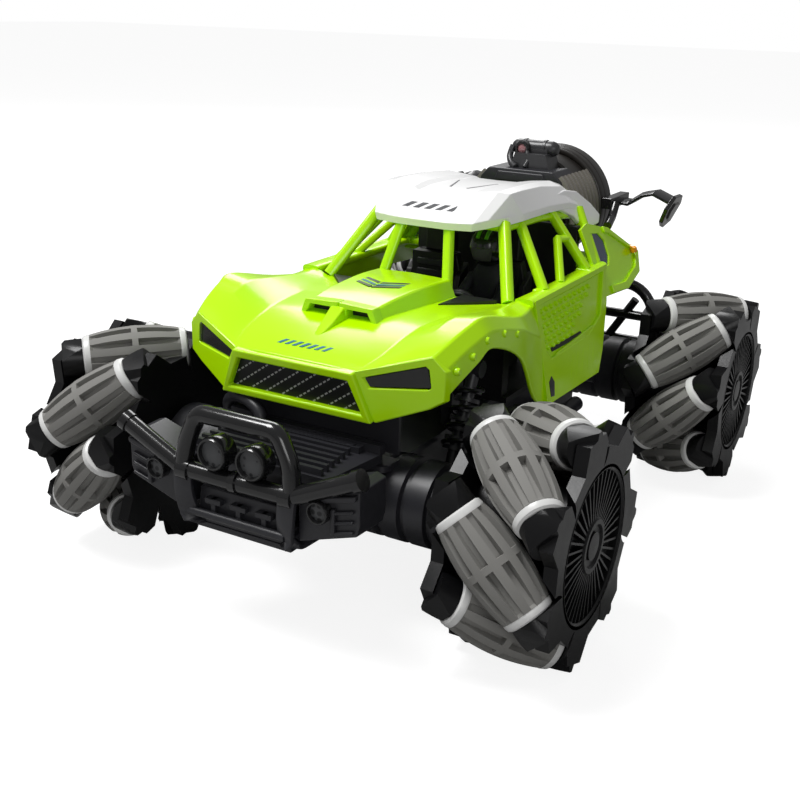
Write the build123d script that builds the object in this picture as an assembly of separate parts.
from build123d import *
import math
import os

# ---------------------------------------------------------------- driving dimensions (mm)
# Rows: +X is the car's left side, -Y its front, +Z up. Construction runs in an axle frame whose
# y = 0 lies midway between the axles; every node is shifted to the row frame when it is written.
wheelbase = 170.0            # front axle to rear axle
track = 156.0                # middle of a left wheel to middle of a right wheel
front_overhang = 49.0        # front axle to the bumper's foremost face
rear_overhang = 41.0         # rear axle to the wing's trailing edge

# rollers and wheels
rollers_per_wheel = 7
roller_tilt = 45.0           # roller axis to wheel axis, degrees
roller_circle = 29.6         # wheel axis to roller axis
roller_crown = 9.8           # rubber radius at mid length
roller_end = 7.6             # rubber radius at its ends
roller_half = 16.8           # half of the rubber's length
core_radius = 4.6            # plastic core inside the rubber
flange_radius = 6.2          # white end flanges
flange_thick = 1.2
journal_radius = 1.6         # stub journals turning in the rims
journal_length = 5.5
boss_radius = 6.8            # hood of plastic round each journal
boss_wall = 1.5              # plastic beyond the end of a journal's hole
rim_half_width = 19.5        # middle of the wheel to its outer or inner face
plate_thick = 4.2            # lobed plate of each rim half
lobe_radius = 37.4           # saw teeth of the rim plates
lobe_root = 30.6             # valleys between teeth
rim_reach = 38.4             # rims are turned down to this, short of the rollers
tooth_steps = (-19, -11, 8, 17)  # degrees of a tooth's root, heel, tip and root
hub_radius = 18.4            # drum joining the two rim halves
dish_radius = 24.0           # shallow dish in the outer face
dish_depth = 3.0
shaft_radius = 2.5           # wheel shaft
screw_head_radius = 3.6
screw_head_thick = 2.0

# clearances
running = 0.05               # radial, journals and shafts
side_gap = 0.3               # axial or planar gap between neighbours
roller_gap = 0.8             # rim plastic to a turning roller

# geared motors and axle cases
drum_radius = 14.0
drum_wall = 2.2
drum_outer_x = 57.0          # outer end of a motor drum
drum_inner_x = 20.0
drum_groove = 1.2            # depth of the drums' grooves
groove_wide = 2.0
spigot_long = 8.0            # axle case's reach into a drum
spigot_play = 0.15
axle_case_depth = 24.0
axle_case_height = 24.0

# chassis
tray_half_width = 30.0
tray_height = 20.0
tray_floor = 27.0            # underside of the tray above the ground
wall = 2.0
deck_half_width = 32.0
deck_thick = 2.0
door_length = 78.0
door_width = 44.0

post_x = 24.0                # body posts on the deck
post_foot = 66.0             # where the deck's posts meet the body's
post_ys = (-40.0, 62.0)
tower_y = 49.0               # shock towers
tower_height = 28.0
switch_y = 56.0              # power switch under the tray
switch_hole = (6.0, 10.0)
switch_travel = 4.0

# body shell
shell_wall = 1.8
sill_height = 94.0
door_foot = 56.5
cowl_y = -24.0
door_front_y = -26.0         # a door's front at its foot
door_rear_y = 46.0
roof_thick = 2.2

nose_y = -98.6               # back of the nose plate
nose_thick = 2.0
nose_foot = 68.7
nose_top = 84.0
mouth_foot = (24.5, 71.5)    # corners of the mouth, as (x, z)
mouth_top = (21.0, 81.0)
door_lean = 11.5             # degrees that the doors lean in
door_x = 54.5                # outside of a door at its foot
quarter_lean = 26.0
quarter_foot = (51.5, 80.0)  # (x, z) that a rear quarter leans about
tail_front = 50.0            # the tail deck's front and rear
tail_rear = 80.0
leg_lean = 22.0              # roof legs
leg_foot = (36.5, 103.0)

# cockpit
seat_x = 14.0
seat_width = 18.0
seat_deep = 18.0
seat_top = 66.0
seat_back_top = 96.0
seat_back_thick = 6.0
dash_top = 88.0
dash_thick = 5.0
wheel_y = -12.0              # steering wheel
wheel_z = 84.0
wheel_ring = 6.0
helmet_radius = 7.6
helmet_z = 103.0

# lamps on the bumper
lamp_x = 7.1
lamp_z = 61.5

fog_x = 30.0
fog_z = 51.5

# front bumper
bumper_low = 56.5            # height of the cross tube
bumper_knee = 21.0           # where the wing tubes leave it
bumper_tip = (43.0, 65.0)    # end of a wing tube, as (x, z)
bumper_hoop = (14.5, 72.0)   # top corner of the hoop
box_x = (21.0, 42.0)         # side boxes
box_z = (45.0, 63.0)
box_deep = 14.0
box_wall = 2.0
skid_half_width = 18.0
skid_foot = 33.5
skid_thick = 3.0
skid_deep = 30.0
arm_x = (9.0, 14.0)          # arms to the axle cases, front and rear

# rear bumper hoop, as (x, z) corners from the foot up
guard_corners = ((50.0, 46.0), (50.0, 61.0), (31.0, 72.0))
guard_bar_z = 58.0
guard_offset = 12.0          # behind the rear axle case

# spray unit behind the roof
casing_front = 84.0          # the round casing's front and rear
casing_rear = 100.0
casing_ribs = 6
casing_wall = 3.0
hoop_front = 98.0            # the hoop's front and rear
hoop_rear = 111.0
hoop_thick = 3.6
plate_half_width = 19.0      # base plate under the nozzle
plate_front = 66.0
plate_z = (116.0, 119.0)
step_half_width = 15.5       # raised step under the nozzle
step_top = 124.6
unit_leg_x = (8.0, 12.0)
unit_leg_y = (66.0, 76.0)
tail_top = 90.0              # top of the body's tail deck
unit_z = 107.5               # middle of the round casing
unit_radius = 27.0
nozzle_y = 80.0
nozzle_z = 132.8

# tubes
cage_bar = 2.3
cage_rail = ((26.5, -5.0, 113.6), (28.8, 20.0, 113.8), (29.8, 52.0, 110.8))  # top rail's corners
bumper_tube = 3.0
guard_tube = 2.4

half_base = wheelbase / 2
half_track = track / 2
row_shift = (front_overhang - rear_overhang) / 2
front_face = -(half_base + front_overhang)
rear_face = half_base + rear_overhang
pitch = 360 / rollers_per_wheel
tilt = math.radians(roller_tilt)
journal_start = roller_half + flange_thick
journal_end = journal_start + journal_length
boss_end = journal_end + side_gap + boss_wall
boss_lead = math.degrees(math.atan2(boss_end * 0.84 * math.sin(tilt), roller_circle))


def turned(profile):
    """A closed outline of (radius, height) points turned about Z."""
    return revolve(Plane.XZ * make_face(Polyline(*profile, close=True)), Axis.Z)


def rod(p, q, radius):
    """A round bar from p to q."""
    p, q = Vector(*p), Vector(*q)
    return Plane(origin=p, z_dir=q - p) * Cylinder(
        radius, (q - p).length, align=(Align.CENTER, Align.CENTER, Align.MIN)
    )


def tube_run(points, radius):
    """Round bars through the points, with a ball at every corner."""
    run = None
    for p, q in zip(points, points[1:]):
        run = rod(p, q, radius) if run is None else run + rod(p, q, radius)
    for p in points[1:-1]:
        run += Pos(*p) * Sphere(radius)
    return run


def mirrored_run(points):
    """Corners from one side to the middle, then the same back out on the other side."""
    return points + [(-x, y, z) for x, y, z in points[::-1]]


def block(x0, x1, y0, y1, z0, z1):
    """A box between two corners."""
    return Pos((x0 + x1) / 2, (y0 + y1) / 2, (z0 + z1) / 2) * Box(x1 - x0, y1 - y0, z1 - z0)


def both_sides(shape):
    """A shape and its mirror image across the car's middle."""
    return shape + mirror(shape, about=Plane.YZ)


def pair(shape):
    """A shape and its mirror image as two separate solids."""
    return Compound(children=[*shape.solids(), *mirror(shape, about=Plane.YZ).solids()])


def largest(shape):
    """The biggest solid of a shape."""
    return max(shape.solids(), key=lambda solid: solid.volume)


def write(node, shape):
    """One STEP file for a node, in the row frame."""
    placed = Pos(0, row_shift, 0) * Compound(children=[s for s in shape.solids()])
    export_step(placed, f"parts/{node}.step")


# ---------------------------------------------------------------- wheels
def roller_plane(index, end):
    """Roller number index of a left wheel, its axis along local Z; end is 1 in front, -1 behind."""
    angle = math.radians(index * pitch)
    radial = Vector(0, -math.sin(angle), math.cos(angle))
    tangent = Vector(0, -math.cos(angle), -math.sin(angle)) * end
    axis = Vector(1, 0, 0) * math.cos(tilt) + tangent * math.sin(tilt)
    return Plane(origin=radial * roller_circle, x_dir=radial, z_dir=axis)


def roller():
    """A barrel of rubber on a flanged core whose journals turn in the rims."""
    crown = ThreePointArc((roller_end, -roller_half), (roller_crown, 0), (roller_end, roller_half))
    bore = Polyline(
        (roller_end, roller_half), (core_radius, roller_half),
        (core_radius, -roller_half), (roller_end, -roller_half),
    )
    rubber = revolve(Plane.XZ * make_face([crown, bore]), Axis.Z)
    core = turned([
        (0, -journal_end), (journal_radius, -journal_end), (journal_radius, -journal_start),
        (flange_radius, -journal_start), (flange_radius, -roller_half), (core_radius, -roller_half),
        (core_radius, roller_half), (flange_radius, roller_half), (flange_radius, journal_start),
        (journal_radius, journal_start), (journal_radius, journal_end), (0, journal_end),
    ])
    return Compound(children=[*rubber.solids(), *core.solids()])


def lobed_plate(side, end):
    """The saw-edged plate of a rim half, one lobe for each roller boss."""
    lean = side * end
    points = []
    tooth = list(zip(tooth_steps, (lobe_root, lobe_radius - 1.2, lobe_radius, lobe_root)))
    for index in range(rollers_per_wheel):
        middle = index * pitch + lean * boss_lead
        for step, reach in tooth[::lean]:
            angle = math.radians(middle + lean * step)
            points.append((-reach * math.sin(angle), reach * math.cos(angle)))
    start = rim_half_width - plate_thick
    if side < 0:
        start = -rim_half_width
    outline = make_face(Polyline(*points, close=True))
    return Plane(origin=(start, 0, 0), x_dir=(0, 1, 0), z_dir=(1, 0, 0)) * extrude(outline, plate_thick)


def rim_half(side, end):
    """The outer (side 1) or inner (side -1) half of a left wheel's rim."""
    along = Plane(origin=(0, 0, 0), z_dir=(side, 0, 0))
    grounded = (Align.CENTER, Align.CENTER, Align.MIN)
    rim = along * Cylinder(hub_radius, rim_half_width - 1, align=grounded)
    rim += lobed_plate(side, end)
    planes = [roller_plane(index, end) for index in range(rollers_per_wheel)]
    boss_start = journal_start + side_gap
    for plane in planes:
        rim += plane * (Pos(0, 0, side * (boss_start + boss_end) / 2) * Cylinder(
            boss_radius, boss_end - boss_start))
    rim &= along * Cylinder(rim_reach, rim_half_width, align=grounded)
    for plane in planes:
        rim -= plane * Cylinder(roller_crown + roller_gap, 2 * boss_start)
        rim -= plane * Cylinder(journal_radius + running, 2 * (journal_end + side_gap))
    rim -= along * Cylinder(shaft_radius + running, rim_half_width, align=grounded)
    if side > 0:
        rim -= along * (Pos(0, 0, rim_half_width - dish_depth) * Cylinder(
            dish_radius, dish_depth, align=grounded))
    return rim


def wheel_shaft():
    """The output shaft of a left wheel's geared motor and the screw that holds the wheel on it."""
    inner = drum_outer_x - half_track - 16
    face = rim_half_width - dish_depth
    shaft = rod((inner, 0, 0), (face, 0, 0), shaft_radius)
    head = rod((face, 0, 0), (face + screw_head_thick, 0, 0), screw_head_radius)
    head -= block(face + 1, face + 3, -screw_head_radius, screw_head_radius, -0.4, 0.4)
    return Compound(children=[*shaft.solids(), *head.solids()])


def wheel_nodes():
    """All nodes of the four wheels, placed on their axles at their resting turn."""
    wheels = {
        "fl": (1, 1, -16.3), "fr": (-1, 1, 3.7),
        "rl": (1, -1, -2.9), "rr": (-1, -1, 12.0),
    }
    lowest = 0
    parts = {}
    shaft = wheel_shaft()
    halves = {(side, end): rim_half(side, end) for side in (1, -1) for end in (1, -1)}
    for tag, (hand, end, turn) in wheels.items():
        place = Pos(half_track, -end * half_base, 0) * Rot(turn, 0, 0)
        shapes = {f"roller_{tag}_{index + 1}": roller_plane(index, end) * roller()
                  for index in range(rollers_per_wheel)}
        shapes[f"outer_rim_{tag}"] = halves[(1, end)]
        inner = Compound(children=[*halves[(-1, end)].solids(), *shaft.solids()])
        shapes[f"inner_rim_{tag}"] = inner
        for node, shape in shapes.items():
            placed = place * shape
            if hand < 0:
                placed = mirror(placed, about=Plane.YZ)
            parts[node] = placed
            if node.startswith("roller"):
                lowest = min(lowest, placed.bounding_box().min.Z)
    return parts, -lowest


# ---------------------------------------------------------------- drive line and chassis
def motor_drums(axle_z):
    """Four grooved drums round the geared motors, with the shafts' holes in their outer ends."""
    length = drum_outer_x - drum_inner_x
    drum = Cylinder(drum_radius, length, align=(Align.CENTER, Align.CENTER, Align.MIN))
    for share in (1 / 3, 2 / 3):
        ring = Cylinder(drum_radius + 1, groove_wide) - Cylinder(drum_radius - drum_groove, groove_wide)
        drum -= Pos(0, 0, length * share) * ring
    grounded = (Align.CENTER, Align.CENTER, Align.MIN)
    bore = Cylinder(drum_radius - drum_wall, length - drum_wall, align=grounded)
    drum = drum - bore - Cylinder(shaft_radius + running, 3 * length)
    drums = [Plane(origin=(drum_inner_x, y, axle_z), z_dir=(1, 0, 0)) * drum for y in (-half_base, half_base)]
    return pair(Compound(children=[s for d in drums for s in d.solids()]))


def drum_space(axle_z):
    """The room that the motor drums need in the tray and the deck."""
    room = None
    for y in (-half_base, half_base):
        half = both_sides(rod((drum_inner_x - side_gap, y, axle_z), (drum_outer_x, y, axle_z),
                              drum_radius + side_gap))
        room = half if room is None else room + half
    return room


def gear_motors(axle_z):
    """Four geared motors inside the drums, each with the hole its wheel shaft turns in."""
    radius = drum_radius - drum_wall - side_gap
    spigot_end = drum_inner_x + spigot_long
    outer = drum_outer_x - drum_wall - side_gap
    motors = []
    for y in (-half_base, half_base):
        body = rod((spigot_end + side_gap, y, axle_z), (outer, y, axle_z), radius)
        hole = rod((drum_outer_x - 16 - side_gap, y, axle_z), (outer + 1, y, axle_z), shaft_radius + running)
        motors += (body - hole).solids()
    return pair(Compound(children=motors))


def axle_case(y, axle_z):
    """A hollow case between two motor drums, with a spigot into each."""
    half_d = axle_case_depth / 2
    half_h = axle_case_height / 2
    case = block(-drum_inner_x, drum_inner_x, y - half_d, y + half_d, axle_z - half_h, axle_z + half_h)
    case = fillet(case.edges().filter_by(Axis.X), 3)
    spigot = rod((drum_inner_x, y, axle_z), (drum_inner_x + spigot_long, y, axle_z),
                 drum_radius - drum_wall - spigot_play)
    case = both_sides(case + spigot)
    hollow = block(-drum_inner_x + wall, drum_inner_x - wall, y - half_d + wall, y + half_d - wall,
                   axle_z - half_h + wall, axle_z + half_h - wall)
    return case - hollow - rod((-60, y, axle_z), (60, y, axle_z), drum_radius - 2 * drum_wall - 1)


def chassis_tray():
    """The open tray between the axle cases, with the battery door's hole in its floor."""
    reach = half_base - axle_case_depth / 2
    top = tray_floor + tray_height
    tray = block(-tray_half_width, tray_half_width, -reach, reach, tray_floor, top)
    tray = fillet(tray.edges().filter_by(Axis.Z), 4)
    tray -= block(-tray_half_width + wall, tray_half_width - wall, -reach + wall, reach - wall,
                  tray_floor + wall, top + 1)
    tray -= block(-door_width / 2, door_width / 2, -door_length / 2, door_length / 2, 0, top)
    for hand in (-1, 1):
        y = hand * door_length / 2
        tray += block(-5, 5, min(y + hand, y - 6 * hand), max(y + hand, y - 6 * hand),
                      tray_floor + wall, tray_floor + wall + 4)
    lug_x = tray_half_width + 12
    for y in (-28.0, 28.0):
        tray += both_sides(block(tray_half_width - 1, lug_x, y - 3, y + 3, tray_floor + 6, tray_floor + 11))
    tray += both_sides(rod((lug_x, -42, tray_floor + 8.5), (lug_x, 42, tray_floor + 8.5), bumper_tube))
    slot = block(-switch_hole[0] / 2, switch_hole[0] / 2, switch_y - switch_hole[1] / 2,
                 switch_y + switch_hole[1] / 2, tray_floor - 1, tray_floor + wall + 1)
    return tray - slot


def power_switch():
    """The slide of the power switch, its nub standing in the floor's slot."""
    nub_long = switch_hole[1] - switch_travel - 2 * side_gap
    y0 = switch_y - switch_hole[1] / 2 + side_gap
    nub = block(-switch_hole[0] / 2 + side_gap, switch_hole[0] / 2 - side_gap, y0, y0 + nub_long,
                tray_floor - 0.8, tray_floor + wall + side_gap)
    plate = block(-4.5, 4.5, y0 - 2, y0 + nub_long + 2, tray_floor + wall + side_gap,
                  tray_floor + wall + side_gap + 1.2)
    return nub + plate


def battery_door():
    """The cover that closes the battery's hole from below."""
    door = block(-door_width / 2 + side_gap, door_width / 2 - side_gap, -door_length / 2 + side_gap,
                 door_length / 2 - side_gap, tray_floor, tray_floor + wall)
    for i in range(-3, 4):
        door += block(-14, 14, i * 8 - 1, i * 8 + 1, tray_floor - 0.8, tray_floor)
    return door


def battery_pack():
    """A flat rechargeable pack lying on its door."""
    pack = block(-door_width / 2 + 2, door_width / 2 - 2, -30, 30, tray_floor + wall, tray_floor + wall + 11)
    return fillet(pack.edges().filter_by(Axis.Y), 3)


def circuit_board():
    """The receiver board over the battery, with its chips and the switch's case."""
    z = tray_floor + wall + 12.5
    board = block(-22, 22, -34, 34, z, z + 1.6)
    for x, y, w in ((-10, -12, 9), (8, 6, 12), (-9, 20, 7)):
        board += block(x - w / 2, x + w / 2, y - w / 2, y + w / 2, z + 1.6, z + 3.2)
    for x in (-19, 19):
        for y in (-32.5, 32.5):
            board += block(x - 1.5, x + 1.5, y - 1.5, y + 1.5, tray_floor + wall, z)
    return board


def chassis_deck(axle_z):
    """The lid over tray and axle cases, with the ribbed nose step under the bonnet."""
    reach = half_base + axle_case_depth / 2
    bottom = axle_z + axle_case_height / 2
    deck = block(-deck_half_width, deck_half_width, -reach, reach, bottom, bottom + deck_thick)
    deck = fillet(deck.edges().filter_by(Axis.Z), 3)
    inner = half_base - axle_case_depth / 2
    tray_top = tray_floor + tray_height
    rim = block(-tray_half_width, tray_half_width, -inner + 0.1, inner - 0.1, tray_top, bottom)
    rim -= block(-tray_half_width + wall, tray_half_width - wall, -inner + wall, inner - wall, 0, bottom)
    deck += rim
    step = block(-24, 24, -reach - 3, -reach + 12, bottom + deck_thick - 1, bottom + 8)
    for i in range(6):
        y = -reach + i * 2.4 - 2
        step -= block(-22, 22, y, y + 1.2, bottom + 7, bottom + 9)
    deck += step
    for y in post_ys:
        deck += both_sides(rod((post_x, y, bottom + deck_thick - 0.5), (post_x, y, post_foot), 3.4))
    for y in (-tower_y, tower_y):
        deck += both_sides(block(deck_half_width - 4, deck_half_width, y - 4, y + 4, bottom,
                                 bottom + tower_height))
    return deck


def shock_absorbers(axle_z):
    """Four struts with ribbed coils between the tray's sides and the deck's towers."""
    head_z = axle_z + axle_case_height / 2 + tower_height - 5
    struts = []
    for y, lean in ((-tower_y, 8), (tower_y, -8)):
        foot = Vector(38.0, y - 2 * lean, tray_floor + tray_height - 6)
        head = Vector(38.0, y, head_z)
        strut = rod(foot, head, 2.2)
        for i in range(7):
            point = foot + (head - foot) * (0.25 + i * 0.09)
            strut += Plane(origin=point, z_dir=head - foot) * Cylinder(4.4, 1.4)
        strut += rod((tray_half_width, foot.Y, foot.Z), (41, foot.Y, foot.Z), 3)
        strut += rod((deck_half_width, y, head_z), (41, y, head_z), 3)
        struts += strut.solids()
    return pair(Compound(children=struts))


def screw_places():
    """Where the screws stand, as (x, y): deck screws into the axle cases, then door screws."""
    deck = [(x, y) for x in (-14, 14) for y in (-half_base + 7, half_base - 7)]
    door = [(0, y) for y in (-door_length / 2 + 3.5, door_length / 2 - 3.5)]
    return deck, door


def screws(deck_top, radius):
    """Pan-head screws with the given shank radius; a larger one cuts their holes."""
    deck, door = screw_places()
    made = []
    for x, y in deck:
        shank = rod((x, y, deck_top - deck_thick - wall - 1), (x, y, deck_top), radius)
        made.append(shank + rod((x, y, deck_top), (x, y, deck_top + 1.4), 2.4))
    for x, y in door:
        shank = rod((x, y, tray_floor), (x, y, tray_floor + wall + 3.5), radius)
        made.append(shank + rod((x, y, tray_floor - 1.2), (x, y, tray_floor), 2.4))
    return Compound(children=[s for m in made for s in m.solids()])


# ---------------------------------------------------------------- body
def u_loft(stations, thickness):
    """A thin open-bottomed shell through half sections of (x, z) points at successive y."""
    faces = []
    for y, half in stations:
        inner = [(max(x - thickness, 0), z - thickness) for x, z in half]
        inner[-1] = (half[-1][0] - thickness, half[-1][1])
        ring = [(x, z) for x, z in half] + inner[::-1]
        left = [Vector(x, y, z) for x, z in ring]
        faces.append(Wire.make_polygon([(p.X, p.Y, p.Z) for p in left], close=True))
    half_shell = Solid.make_loft(faces, ruled=True)
    return both_sides(half_shell)


def side_panel(outline, thickness, x_at, z_at, lean):
    """A flat side panel of (y, z) points, leaning inwards by lean degrees about (x_at, z_at)."""
    flat = Plane(origin=(0, 0, 0), x_dir=(0, 1, 0), z_dir=(1, 0, 0)) * extrude(
        make_face(Polyline(*[(y, z - z_at) for y, z in outline], close=True)), -thickness)
    return Pos(x_at, 0, z_at) * Rot(0, -lean, 0) * flat


def body_shell():
    """The one-piece body: bonnet and wings, nose, doors, rear quarters and tail deck."""
    bonnet = u_loft([
        (-99.0, [(0, 84), (13, 84.5), (24, 84), (27, 83.5), (28.5, 82), (29.5, 69)]),
        (-91.0, [(0, 87.5), (14, 88.5), (26, 86), (42, 87.6), (46, 87), (48, 77)]),
        (-68.0, [(0, 95.5), (15, 95.5), (27, 91), (46, 98.6), (51, 97.5), (53, 88)]),
        (-43.0, [(0, 97), (17, 97.5), (30, 92), (43, 97), (50, 96), (53.5, 79)]),
        (cowl_y, [(0, 95), (19, 96), (33, 90.5), (41, 94), (47, 93.5), (54.5, 58)]),
    ], shell_wall)
    nose = block(-28.2, 28.2, nose_y - nose_thick, nose_y, nose_foot, nose_top)
    corners = [mouth_foot, mouth_top, (-mouth_top[0], mouth_top[1]), (-mouth_foot[0], mouth_foot[1])]
    mouth = Plane.XZ * make_face(Polyline(*corners, close=True))
    nose -= Pos(0, nose_y, 0) * extrude(mouth, 4 * nose_thick, both=True)
    door = [(cowl_y - 0.1, sill_height), (door_front_y, door_foot), (27, door_foot - 1), (43, 80),
            (door_rear_y, sill_height)]
    doors = side_panel(door, shell_wall, door_x, door_foot, door_lean)
    quarter = [(42, 80), (40, 106), (60, 106), (77, 102.5), (91, 91), (76, 82.5), (62, 83)]
    window = [(48, 98), (58, 98), (58, 89), (48, 88)]
    quarters = side_panel(quarter, shell_wall, *quarter_foot, quarter_lean)
    quarters -= side_panel(window, 5 * shell_wall, quarter_foot[0] + 0.5, quarter_foot[1], quarter_lean)
    sill = block(40.5, 47.2, cowl_y, door_rear_y + 1, sill_height - 3, sill_height)
    tail = block(-46, 46, tail_front, tail_rear, tail_top - 2, tail_top)
    tail += block(-42, 42, tail_rear - 2, tail_rear, tail_top - 6, tail_top)
    shell = bonnet + nose + both_sides(doors + quarters + sill) + tail
    for y, top in zip(post_ys, (93.5, tail_top - 1)):
        shell += both_sides(rod((post_x, y, post_foot), (post_x, y, top), 3.0))
    return shell


def grille():
    """The slatted grille behind the mouth."""
    back = block(-26, 26, -98.6, -97.6, 70.5, 82)
    for i in range(-5, 6):
        back += rod((i * 4.2 - 2.6, -98.8, 72.2), (i * 4.2 + 2.6, -98.8, 80.4), 0.5)
    back &= block(-26, 26, -99.4, -97, 70.5, 82)
    return back


def headlights(shell):
    """A wedge-shaped lens on each shoulder of the nose, trimmed to the shell."""
    face = Plane(origin=(37.6, -94.6, 80.5), x_dir=(17.5, 8, 0), z_dir=(8, -17.5, 0))
    lens = face * extrude(
        make_face(Polyline((-8.0, -1.0), (-7.6, 1.4), (8.4, 5.0), (8.8, -1.2), close=True)), 1.8)
    return pair(largest(lens - shell))


def roof_panel():
    """The white roof with raised side rails and a leg down to each rear quarter."""
    roof = u_loft([
        (-17.0, [(0, 114.8), (10, 115), (20, 115.2), (23, 112.4)]),
        (-2.0, [(0, 124.0), (13, 124.4), (20, 126.2), (29.5, 115)]),
        (25.0, [(0, 124.0), (14, 124.4), (22, 126.0), (31.2, 115.2)]),
        (56.0, [(0, 121.0), (14, 121.4), (23, 122.0), (32, 112.5)]),
    ], roof_thick)
    leg = [(44, 119), (60, 118), (82, 106), (66, 102.5), (56, 109)]
    roof += both_sides(side_panel(leg, roof_thick, *leg_foot, leg_lean))
    return roof


def cage_bars():
    """The bars of the cage between body and roof, as ends."""
    return [
        ((38.5, cowl_y + 1, 91), (26.5, -5, 116), cage_bar),
        ((13, cowl_y - 1, 95), (4, -15, 116), cage_bar - 0.6),
        ((44.3, -2, 93), (29, 4, 117), cage_bar - 0.3),
        ((44.3, 38, 93), (30, 32, 116), cage_bar - 0.3),
        ((44.3, 16, 93), (36.4, 35, 104.8), cage_bar - 0.5),
        ((43.5, 47, 92), (31.5, 53, 114), cage_bar),
    ]


def roll_cage(shell, roof):
    """The cage, trimmed where it lands on the body shell and the roof."""
    bars = None
    for p, q, radius in cage_bars():
        bars = rod(p, q, radius) if bars is None else bars + rod(p, q, radius)
    bars += tube_run(cage_rail, cage_bar - 0.4)
    bars = both_sides(bars)
    for x, y, z in (cage_rail[0], cage_rail[-1]):
        bars += rod((-x, y, z), (x, y, z), cage_bar - 0.4)
    return largest(bars - shell - roof)


# ---------------------------------------------------------------- cockpit
def cockpit_tub(deck_top):
    """Floor, dash and two seats in one moulding, standing on the deck."""
    front = cowl_y + 3
    inner, outer = seat_x - seat_width / 2, seat_x + seat_width / 2
    back_face = seat_deep - 2
    tub = block(-38, 38, front, 44, deck_top, deck_top + wall)
    tub += block(-36, 36, front, front + dash_thick, deck_top, dash_top)
    seat = block(inner, outer, 0, seat_deep, deck_top + 1, seat_top)
    back = block(inner, outer, back_face, back_face + seat_back_thick, deck_top + 1, seat_back_top)
    tub += both_sides(seat + back)
    tub += block(-3, 3, front + dash_thick - 1, 20, deck_top + 1, seat_top + 8)
    column = Vector(seat_x, wheel_y, wheel_z)
    tub += rod((seat_x, wheel_y - 5, wheel_z - 1), column, 1.2)
    wheel = Plane(origin=column, z_dir=(0, 8, 2))
    tub += wheel * Torus(wheel_ring, 1.1)
    tub += wheel * Box(2 * wheel_ring, 2, 1.4)
    return tub


def driver_figure():
    """A seated driver to the waist: trunk, arms to the wheel and a full-face helmet."""
    x = seat_x
    chest = seat_deep - 2 - side_gap
    trunk = block(x - 7, x + 7, 5, chest, seat_top + side_gap, 90)
    trunk = fillet(trunk.edges().filter_by(Axis.Z), 4)
    trunk += Pos(x, 10, 92) * Cylinder(3.2, 10)
    hand_y = wheel_y + 4.5
    for side in (-1, 1):
        hand = (x + 5.5 * side, hand_y, wheel_z + 1)
        trunk += tube_run([(x + 7 * side, 9, 87), (x + 9 * side, 1, 79), hand], 2.3)
    return trunk + Pos(x, 8.5, helmet_z) * Sphere(helmet_radius)


# ---------------------------------------------------------------- front and rear fittings
def front_bumper():
    """Tube bumper with hoop, side boxes, flat bands, apron and skid tray, on two arms to the axle case."""
    y = front_face + bumper_tube
    tip = (bumper_tip[0], y + 1, bumper_tip[1])
    knee = (bumper_knee, y, bumper_low)
    shoulder = (bumper_knee - 1, y + 1, bumper_low + 6.5)
    crown = (bumper_hoop[0], y + 2, bumper_hoop[1])
    bar = tube_run(mirrored_run([tip, knee]), bumper_tube)
    bar += tube_run(mirrored_run([knee, shoulder, crown]), bumper_tube - 0.5)
    band = Plane(origin=(0, y - 1.6, 0), x_dir=(1, 0, 0), z_dir=(0, 1, 0)) * extrude(
        make_face(Polyline((15, -58), (bumper_knee, -58), (17, -34), (11, -36), close=True)), 3)
    wing = block(*box_x, y + 2, y + 2 + box_deep, *box_z)
    wing -= block(box_x[0] + box_wall, box_x[1] - box_wall, y + 2 + box_wall, y + 3 + box_deep,
                  box_z[0] + box_wall, box_z[1] - box_wall)
    strut = rod((box_x[0] + 2, y, 50), (box_x[1], y + 4, 55), bumper_tube)
    skid_top = skid_foot + skid_thick
    skid = block(-skid_half_width, skid_half_width, y, y + skid_deep, skid_foot, skid_top)
    skid += block(-15, 15, y - 1, y + 2, skid_top - 0.5, bumper_low - bumper_tube + 1)
    for x in (-10, 0, 10):
        skid += block(x - 1.2, x + 1.2, y + 1, y + skid_deep - 2, skid_top - 0.5, skid_top + 3.5)
    case_face = -half_base - axle_case_depth / 2
    arms = block(*arm_x, y, case_face, skid_top + 3.5, 48) + block(*arm_x, y, y + 12, skid_top, 58)
    return bar + both_sides(band + wing + strut + arms) + skid


def spot_lamps():
    """Two round lamps on the bumper and a fog lamp on each side box."""
    y = front_face + bumper_tube
    lamp = rod((lamp_x, y + 5, lamp_z), (lamp_x, y - 2.9, lamp_z), 5.0)
    lamp = fillet(lamp.edges().filter_by(GeomType.CIRCLE).sort_by(Axis.Y)[0], 1.5)
    fog = rod((fog_x, y + 4, fog_z), (fog_x, y - 2.2, fog_z), 3.4)
    return pair(Compound(children=[*lamp.solids(), *fog.solids()]))


def spray_unit():
    """The spray unit behind the roof: legs on the body's tail, plate, ribbed casing and hoop."""
    radius = unit_radius - hoop_thick
    legs = both_sides(block(*unit_leg_x, *unit_leg_y, tail_top, plate_z[0] + 1))
    plate = block(-plate_half_width, plate_half_width, plate_front, casing_rear + 2, *plate_z)
    plate += block(-step_half_width, step_half_width, plate_front, casing_front, plate_z[0], step_top)
    casing = along_car(casing_front, casing_rear, radius)
    rib_pitch = (casing_rear - casing_front) / casing_ribs
    for i in range(casing_ribs):
        y = casing_front + i * rib_pitch
        casing += along_car(y, y + rib_pitch / 2, radius + 1.8)
    casing += along_car(hoop_front, hoop_rear, unit_radius)
    casing -= along_car(casing_front - 10, casing_rear, radius - casing_wall)
    casing -= along_car(casing_rear - 1, hoop_rear + 10, radius)
    upper = block(-40, 40, casing_front - 10, hoop_rear + 10, tail_top + 2.5, unit_z + 2 * unit_radius)
    return (casing & upper) + legs + plate


def along_car(y0, y1, radius):
    """A round bar along the car through the middle of the spray unit."""
    return rod((0, y0, unit_z), (0, y1, unit_z), radius)


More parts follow.
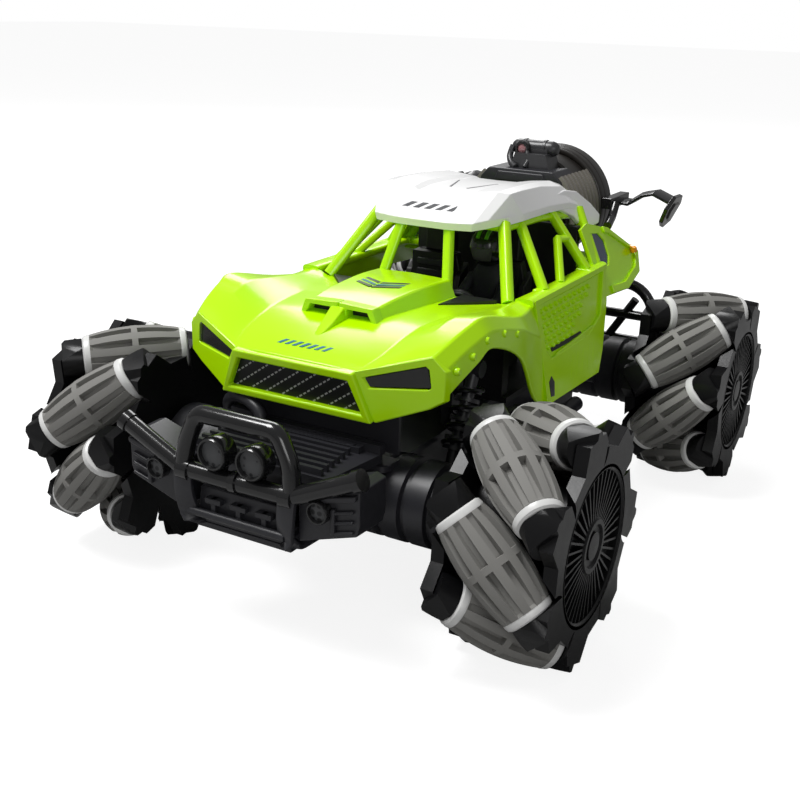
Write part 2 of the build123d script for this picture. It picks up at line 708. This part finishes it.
def spray_nozzle():
    """The cross tube of the spray nozzle on its stem, with the outlet in front."""
    foot = block(-8.5, 8.5, nozzle_y - 8, casing_front, step_top, step_top + 5)
    stem = block(-2, 8, nozzle_y - 5, casing_front, step_top + 4, nozzle_z)
    tube = rod((-11, nozzle_y, nozzle_z), (11, nozzle_y, nozzle_z), 3.4)
    outlet = rod((-4, nozzle_y, nozzle_z - 1), (-4, nozzle_y - 6.5, nozzle_z - 2), 2.6)
    clip = block(-8.5, -5, nozzle_y - 3, casing_front, step_top + 4, nozzle_z)
    return foot + stem + tube + outlet + clip


def rear_wing(unit):
    """Two cranked wing blades with canted end plates, one on each side of the spray unit."""
    rear = rear_face
    front = Plane.XZ.offset(-(rear - 18))
    outline = [(26, 109), (36, 108.4), (44, 112), (52, 108), (52, 110), (44, 114), (36, 110.4), (26, 111)]
    blade = front * extrude(make_face(Polyline(*outline, close=True)), -18)
    root = block(24, 33, 96, rear - 16, 107.5, 112)
    strut = rod((31.5, 99, 109), (33.5, 86, 101.5), 2.4)
    plate = Plane(origin=(50.5, rear - 10, 105), x_dir=(0, 1, 0), z_dir=(8, 0, 5.5)) * extrude(
        make_face(Polyline((-9, -5), (-6, 8), (4, 9), (9, 4), (6, -8), (-4, -9), close=True)), 2)
    half = blade + root + strut + plate
    return pair(largest(half - unit))


def rear_bumper(axle_z):
    """A hoop of tube behind the rear axle with a middle bar, slanted stays and two arms."""
    case_face = half_base + axle_case_depth / 2
    y = case_face + guard_offset
    foot, shoulder, top = [(x, y, z) for x, z in guard_corners]
    hoop = tube_run([*mirrored_run([foot, shoulder, top]), foot], guard_tube)
    hoop += Pos(*foot) * Sphere(guard_tube)
    hoop += rod((-foot[0], y, guard_bar_z), (foot[0], y, guard_bar_z), guard_tube)
    hoop += both_sides(rod((42, y, 65.5), (30, y, foot[2]), guard_tube - 0.4))
    arms = both_sides(block(*arm_x, case_face, y, axle_z + 2, axle_z + 8))
    return hoop + arms


# ---------------------------------------------------------------- assembly
os.makedirs("parts", exist_ok=True)
wheel_parts, axle_z = wheel_nodes()
for node, shape in wheel_parts.items():
    write(node, Pos(0, 0, axle_z) * shape)

deck_top = axle_z + axle_case_height / 2 + deck_thick
holes = screws(deck_top, 1.25)
shell = body_shell()
roof = roof_panel()
unit = spray_unit()
lamps = spot_lamps()
drums = drum_space(axle_z)
cases = axle_case(-half_base, axle_z) + axle_case(half_base, axle_z)
nodes = {
    "chassis_tray": chassis_tray() - holes - drums,
    "chassis_deck": chassis_deck(axle_z) - holes - drums,
    "axle_cases": cases - holes,
    "motor_drums": motor_drums(axle_z),
    "gear_motors": gear_motors(axle_z),
    "shock_absorbers": shock_absorbers(axle_z),
    "battery_pack": battery_pack(),
    "battery_door": battery_door() - holes,
    "circuit_board": circuit_board(),
    "power_switch": power_switch(),
    "screws": screws(deck_top, 1.2),
    "body_shell": shell,
    "roll_cage": roll_cage(shell, roof),
    "roof_panel": roof,
    "grille": grille() - shell,
    "headlights": headlights(shell),
    "cockpit_tub": cockpit_tub(deck_top),
    "driver_figure": driver_figure(),
    "front_bumper": front_bumper() - lamps,
    "spot_lamps": lamps,
    "spray_unit": unit,
    "spray_nozzle": largest(spray_nozzle() - unit),
    "rear_wing": rear_wing(unit),
    "rear_bumper": rear_bumper(axle_z),
}
for node, shape in nodes.items():
    write(node, shape)
